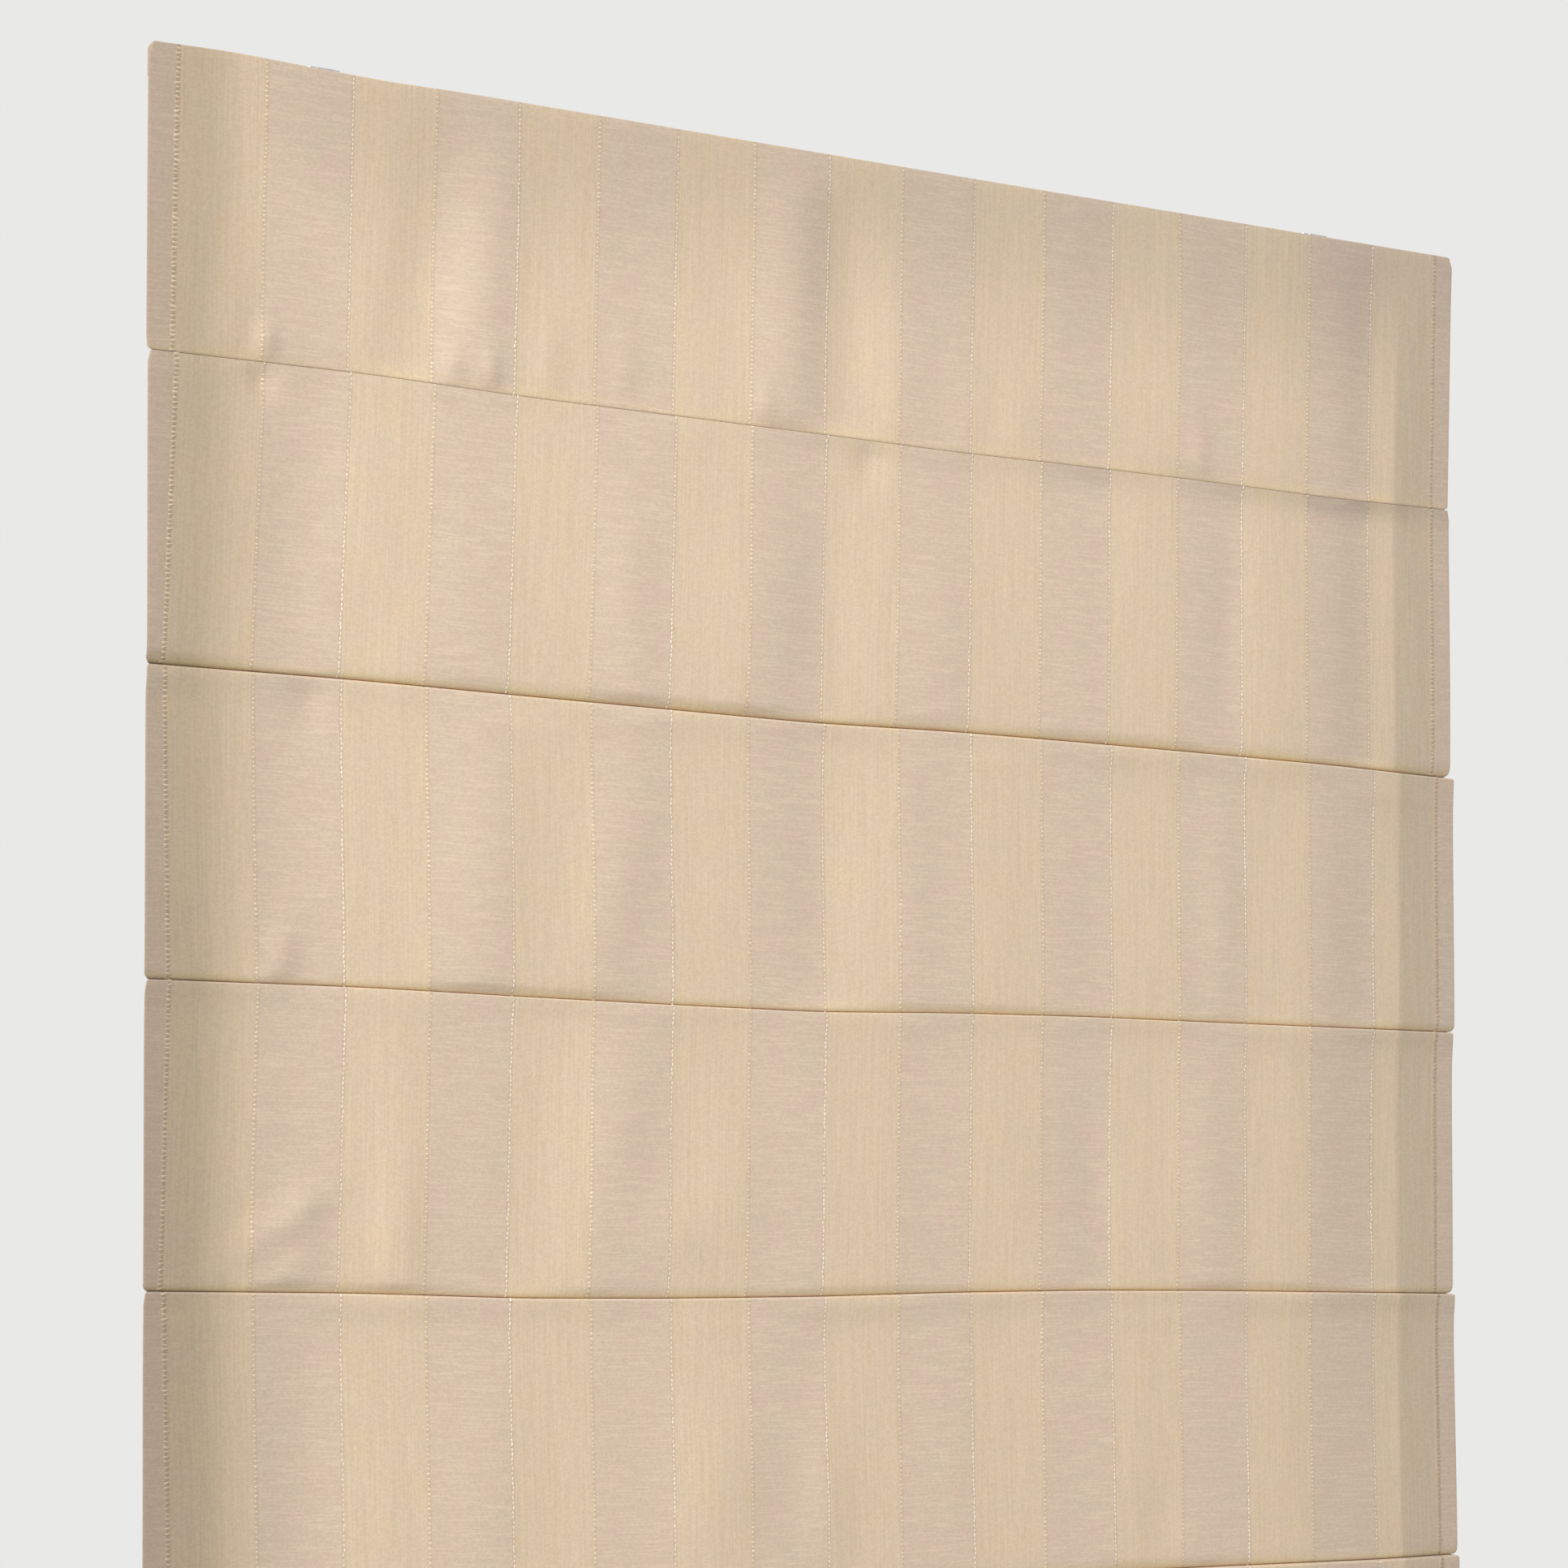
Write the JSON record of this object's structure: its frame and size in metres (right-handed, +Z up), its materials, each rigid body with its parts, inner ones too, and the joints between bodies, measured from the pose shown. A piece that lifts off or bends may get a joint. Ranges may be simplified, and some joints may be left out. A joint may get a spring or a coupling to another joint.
{
  "type": "roman blind",
  "caption": "Lined roman blind in striped cloth with horizontal tucks, hung from a chain-drive headrail on two ceiling brackets.",
  "frame": {"origin": "middle of the rectangle of bracket screw holes, on the brackets' top face", "axes": "+Z up into the ceiling or recess head, X along the headrail, face cloth towards -Y"},
  "size_m": [1.22, 0.0587, 1.3745],
  "materials": {
    "face_cloth": "cream satin stripes and pink-beige plain stripes",
    "lining_cloth": "plain weave",
    "touch_tape": "hook and loop pile",
    "rail_paint": "white powder coat",
    "white_plastic": "moulded",
    "clear_plastic": "moulded",
    "zinc_steel": "zinc plated",
    "shaft_aluminium": "drawn",
    "bar_aluminium": "mill",
    "fibreglass": "pultruded fibreglass"
  },
  "bodies": {
    "blind": {"face_fabric": "face_cloth", "lining": "lining_cloth", "hook_tape": "touch_tape", "loop_tape": "touch_tape", "headrail": "rail_paint", "end_cap": "white_plastic", "control_housing": "white_plastic", "control_cover": "white_plastic", "cover_screws": "zinc_steel", "drum_cradle_1": "white_plastic", "drum_cradle_2": "white_plastic", "drum_cradle_3": "white_plastic", "bracket_left": "zinc_steel", "bracket_right": "zinc_steel", "lever_rivets": "zinc_steel", "batten_1": "fibreglass", "batten_2": "fibreglass", "batten_3": "fibreglass", "batten_4": "fibreglass", "batten_5": "fibreglass", "batten_caps": "white_plastic", "bottom_bar": "bar_aluminium", "bar_caps": "white_plastic", "cord_rings": "clear_plastic", "cord_anchors": "white_plastic"},
    "lift_train": {"chain_wheel": "white_plastic", "lift_shaft": "shaft_aluminium", "shaft_bush": "white_plastic", "cord_drum_1": "white_plastic", "cord_drum_2": "white_plastic", "cord_drum_3": "white_plastic"},
    "left_lever": {"bracket_lever_left": "white_plastic"},
    "right_lever": {"bracket_lever_right": "white_plastic"}
  },
  "joints": [
    {"name": "lift_turn", "type": "hinge", "parent": "blind", "child": "lift_train", "pos_m": [0, 0, -0.02425], "axis": [1, 0, 0], "range_deg": [0, 7500]},
    {"name": "left_lever_turn", "type": "hinge", "parent": "blind", "child": "left_lever", "pos_m": [-0.459, 0.006, 0], "axis": [0, 0, -1], "range_deg": [0, 90]},
    {"name": "right_lever_turn", "type": "hinge", "parent": "blind", "child": "right_lever", "pos_m": [0.481, 0.006, 0], "axis": [0, 0, -1], "range_deg": [0, 90]}
  ]
}
